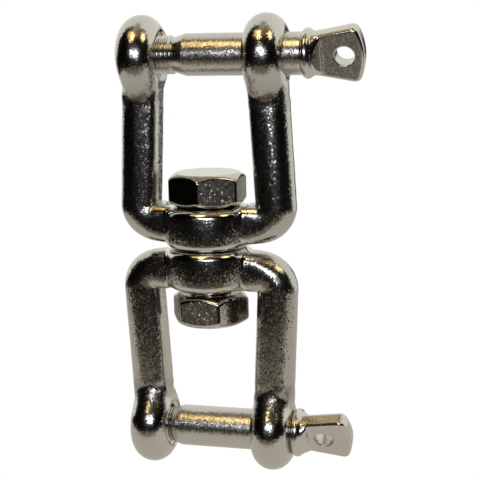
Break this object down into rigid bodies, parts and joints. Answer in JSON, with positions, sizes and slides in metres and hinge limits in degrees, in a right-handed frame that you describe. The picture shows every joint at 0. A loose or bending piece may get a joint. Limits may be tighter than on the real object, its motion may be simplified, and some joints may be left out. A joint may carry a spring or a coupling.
{
  "type": "anchor swivel",
  "caption": "Jaw and jaw swivel for joining an anchor to its chain: two bent-bar forks turning on a through bolt, each closed by a screw pin with a drilled tab.",
  "frame": {"origin": "middle of the upper jaw, on the axis of the upper pin", "axes": "+Z along the swivel axis, from the lower jaw to the upper jaw; +X along both pins towards their tabs; -Y is the front"},
  "size_m": [0.0604, 0.0212, 0.111],
  "materials": {
    "fork_steel": "polished stainless steel with a fine cast grain",
    "bolt_steel": "stainless steel, bead-blasted flats and bright chamfers",
    "pin_steel": "turned and polished stainless steel"
  },
  "bodies": {
    "upper_fork": {"upper_fork": "fork_steel"},
    "swivel_bolt": {"swivel_bolt": "bolt_steel", "swivel_nut": "bolt_steel"},
    "lower_fork": {"lower_fork": "fork_steel"},
    "upper_pin": {"upper_pin": "pin_steel"},
    "lower_pin": {"lower_pin": "pin_steel"}
  },
  "joints": [
    {"name": "bolt_spin", "type": "hinge", "parent": "upper_fork", "child": "swivel_bolt", "pos_m": [0, 0, -0.046], "axis": [0, 0, 1], "continuous": true},
    {"name": "fork_swivel", "type": "hinge", "parent": "swivel_bolt", "child": "lower_fork", "pos_m": [0, 0, -0.046], "axis": [0, 0, 1], "continuous": true},
    {"name": "upper_pin_travel", "type": "slide", "parent": "upper_fork", "child": "upper_pin", "axis": [1, 0, 0], "range_m": [-0.0037, 0.0353]},
    {"name": "lower_pin_travel", "type": "slide", "parent": "lower_fork", "child": "lower_pin", "axis": [1, 0, 0], "range_m": [0, 0.039]}
  ]
}
